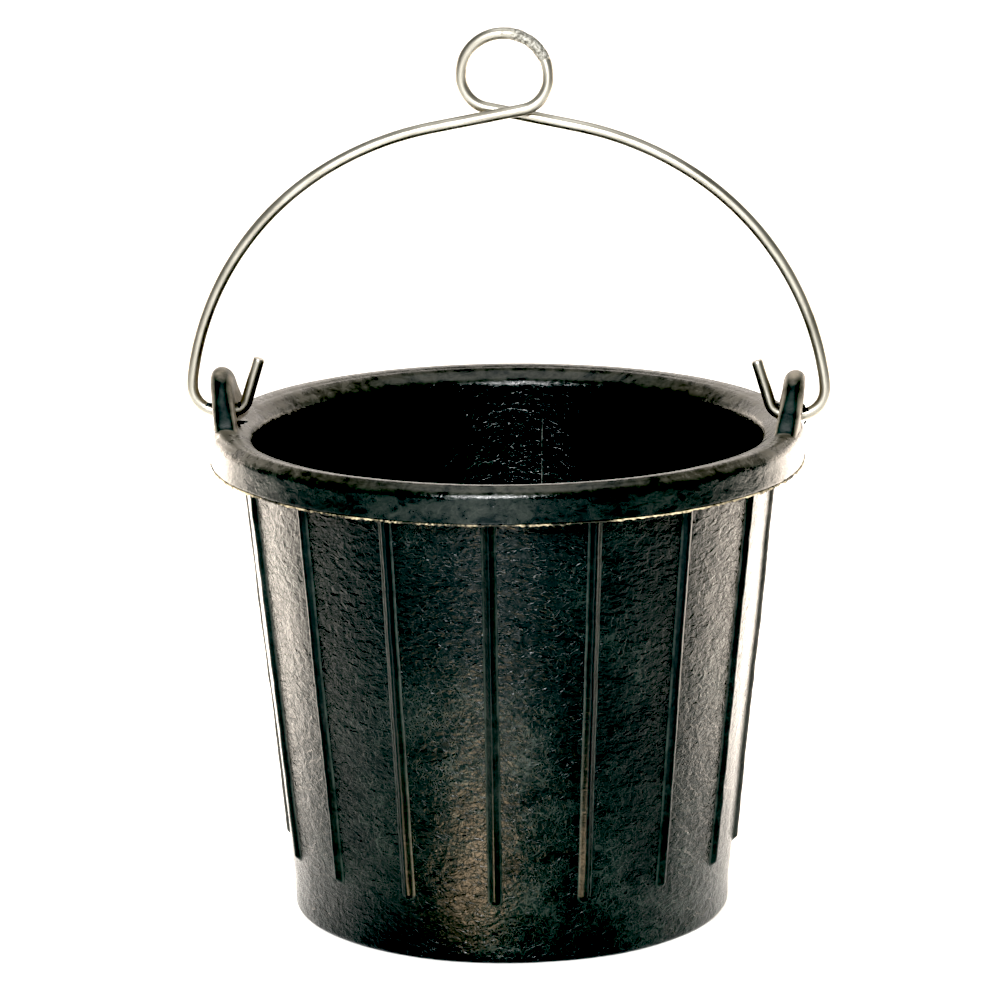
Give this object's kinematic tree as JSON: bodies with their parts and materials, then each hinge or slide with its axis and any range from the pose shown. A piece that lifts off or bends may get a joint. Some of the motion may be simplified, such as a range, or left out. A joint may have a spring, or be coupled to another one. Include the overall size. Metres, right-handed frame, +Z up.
{
  "type": "stable feed bucket",
  "caption": "Round tapered rubber feed bucket with ribbed wall, thick rim, two bored ears and a swinging steel wire bail with a hanging eye.",
  "frame": {"origin": "centre of the flat underside, on the surface the bucket stands on", "axes": "+Z up along the bucket's axis, X along the line through the two ears (the bail's pivot axis), -Y to the front"},
  "size_m": [0.3372, 0.31, 0.4661],
  "materials": {
    "rubber": "matte moulded black rubber, dusty",
    "steel_wire": "satin galvanised steel wire"
  },
  "bodies": {
    "bucket": {"floor_disc": "rubber", "wall": "rubber", "rim_band": "rubber", "ear_left": "rubber", "ear_right": "rubber", "rib_01": "rubber", "rib_02": "rubber", "rib_03": "rubber", "rib_04": "rubber", "rib_05": "rubber", "rib_06": "rubber", "rib_07": "rubber", "rib_08": "rubber", "rib_09": "rubber", "rib_10": "rubber", "rib_11": "rubber", "rib_12": "rubber", "rib_13": "rubber", "rib_14": "rubber", "rib_15": "rubber", "rib_16": "rubber"},
    "bail": {"bail_wire": "steel_wire"}
  },
  "joints": [
    {"name": "bail_swing", "type": "hinge", "parent": "bucket", "child": "bail", "pos_m": [0, 0, 0.264], "axis": [1, 0, 0], "range_deg": [-90, 90]}
  ]
}
